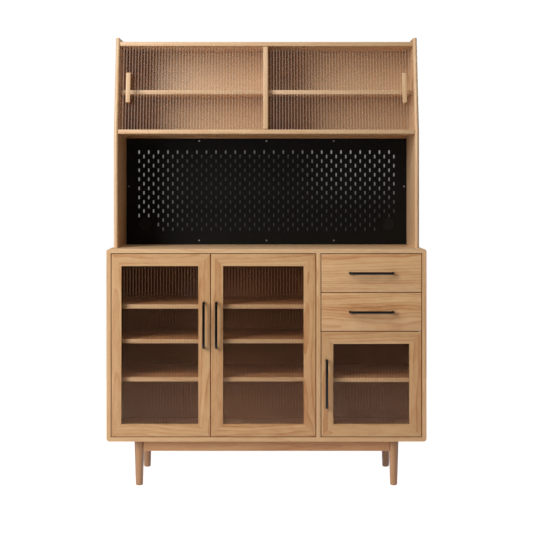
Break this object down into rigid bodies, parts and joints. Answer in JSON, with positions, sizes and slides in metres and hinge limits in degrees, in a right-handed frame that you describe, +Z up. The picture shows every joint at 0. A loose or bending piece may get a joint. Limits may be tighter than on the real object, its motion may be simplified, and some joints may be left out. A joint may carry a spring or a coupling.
{
  "type": "sideboard with hutch",
  "caption": "Wooden sideboard on turned legs with reeded-glass doors and drawers below, and a hutch above with a slotted metal back and slanted sliding glass doors.",
  "frame": {"origin": "middle of the floor area under the whole object, handles included; the feet stand on z = 0", "axes": "+Z up, -Y the front with the doors and drawers, +X to the right as seen from the front"},
  "size_m": [1.2, 0.428, 1.707],
  "materials": {
    "case_wood": "matt clear lacquer on light oak",
    "leg_wood": "matt clear lacquer on turned solid oak",
    "hutch_wood": "matt clear lacquer on light oak",
    "front_wood": "matt clear lacquer on light oak with a lively grain",
    "drawer_wood": "sanded birch plywood",
    "thin_panel": "veneered thin board",
    "reeded_glass": "clear glass with upright reeds on its front",
    "black_metal": "matt black powder coat",
    "zinc_steel": "zinc-plated steel",
    "dark_plastic": "matt dark plastic"
  },
  "bodies": {
    "carcass": {"worktop": "case_wood", "case_left_side": "case_wood", "case_right_side": "case_wood", "case_bottom": "case_wood", "case_divider": "case_wood", "left_bay_shelves": "case_wood", "right_bay_shelf": "case_wood", "drawer_base_board": "case_wood", "front_apron": "case_wood", "rear_and_side_aprons": "case_wood", "pegboard_cleats": "case_wood", "front_left_leg": "leg_wood", "front_right_leg": "leg_wood", "rear_left_leg": "leg_wood", "rear_right_leg": "leg_wood", "hutch_left_side": "hutch_wood", "hutch_right_side": "hutch_wood", "hutch_top_board": "hutch_wood", "hutch_bottom_board": "hutch_wood", "hutch_divider": "hutch_wood", "hutch_shelves": "hutch_wood", "case_back_panel": "thin_panel", "hutch_back_panel": "thin_panel", "pegboard_panel": "black_metal", "shelf_pins": "zinc_steel", "pivot_bracket": "zinc_steel", "slide_cabinet_members": "zinc_steel", "pegboard_screws": "zinc_steel", "pivot_bushes": "dark_plastic", "door_catches": "dark_plastic", "cable_grommets": "dark_plastic"},
    "left_door": {"left_door_frame": "front_wood", "left_door_glass": "reeded_glass", "left_door_handle": "black_metal", "left_door_pivots": "zinc_steel"},
    "middle_door": {"middle_door_frame": "front_wood", "middle_door_glass": "reeded_glass", "middle_door_handle": "black_metal", "middle_door_pivots": "zinc_steel"},
    "right_door": {"right_door_frame": "front_wood", "right_door_glass": "reeded_glass", "right_door_handle": "black_metal", "right_door_pivots": "zinc_steel"},
    "upper_drawer": {"upper_drawer_front": "front_wood", "upper_drawer_box": "drawer_wood", "upper_drawer_bottom": "thin_panel", "upper_drawer_members": "zinc_steel", "upper_drawer_handle": "black_metal"},
    "lower_drawer": {"lower_drawer_front": "front_wood", "lower_drawer_box": "drawer_wood", "lower_drawer_bottom": "thin_panel", "lower_drawer_members": "zinc_steel", "lower_drawer_handle": "black_metal"},
    "upper_middles": {"upper_slide_middles": "zinc_steel"},
    "lower_middles": {"lower_slide_middles": "zinc_steel"},
    "front_slider": {"front_slider_glass": "reeded_glass", "front_slider_strip": "hutch_wood", "front_slider_handle": "hutch_wood"},
    "rear_slider": {"rear_slider_glass": "reeded_glass", "rear_slider_handle": "hutch_wood"}
  },
  "joints": [
    {"name": "left_door_hinge", "type": "hinge", "parent": "carcass", "child": "left_door", "pos_m": [-0.5755, -0.178, 0.389], "axis": [0, 0, 1], "range_deg": [-100, 0]},
    {"name": "middle_door_hinge", "type": "hinge", "parent": "carcass", "child": "middle_door", "pos_m": [0.1785, -0.178, 0.389], "axis": [0, 0, 1], "range_deg": [0, 100]},
    {"name": "right_door_hinge", "type": "hinge", "parent": "carcass", "child": "right_door", "pos_m": [0.5755, -0.178, 0.389], "axis": [0, 0, 1], "range_deg": [0, 100]},
    {"name": "upper_drawer_slide", "type": "slide", "parent": "carcass", "child": "upper_drawer", "axis": [0, 1, 0], "range_m": [-0.3, 0]},
    {"name": "lower_drawer_slide", "type": "slide", "parent": "carcass", "child": "lower_drawer", "axis": [0, 1, 0], "range_m": [-0.3, 0]},
    {"name": "upper_middles_slide", "type": "slide", "parent": "carcass", "child": "upper_middles", "axis": [0, 1, 0], "range_m": [-0.15, 0]},
    {"name": "lower_middles_slide", "type": "slide", "parent": "carcass", "child": "lower_middles", "axis": [0, 1, 0], "range_m": [-0.15, 0]},
    {"name": "front_slider_slide", "type": "slide", "parent": "carcass", "child": "front_slider", "axis": [1, 0, 0], "range_m": [0, 0.49]},
    {"name": "rear_slider_slide", "type": "slide", "parent": "carcass", "child": "rear_slider", "axis": [1, 0, 0], "range_m": [-0.49, 0]}
  ],
  "couplings": [
    {"joint": "upper_middles_slide", "follows": "upper_drawer_slide", "ratio": 0.5},
    {"joint": "lower_middles_slide", "follows": "lower_drawer_slide", "ratio": 0.5}
  ]
}
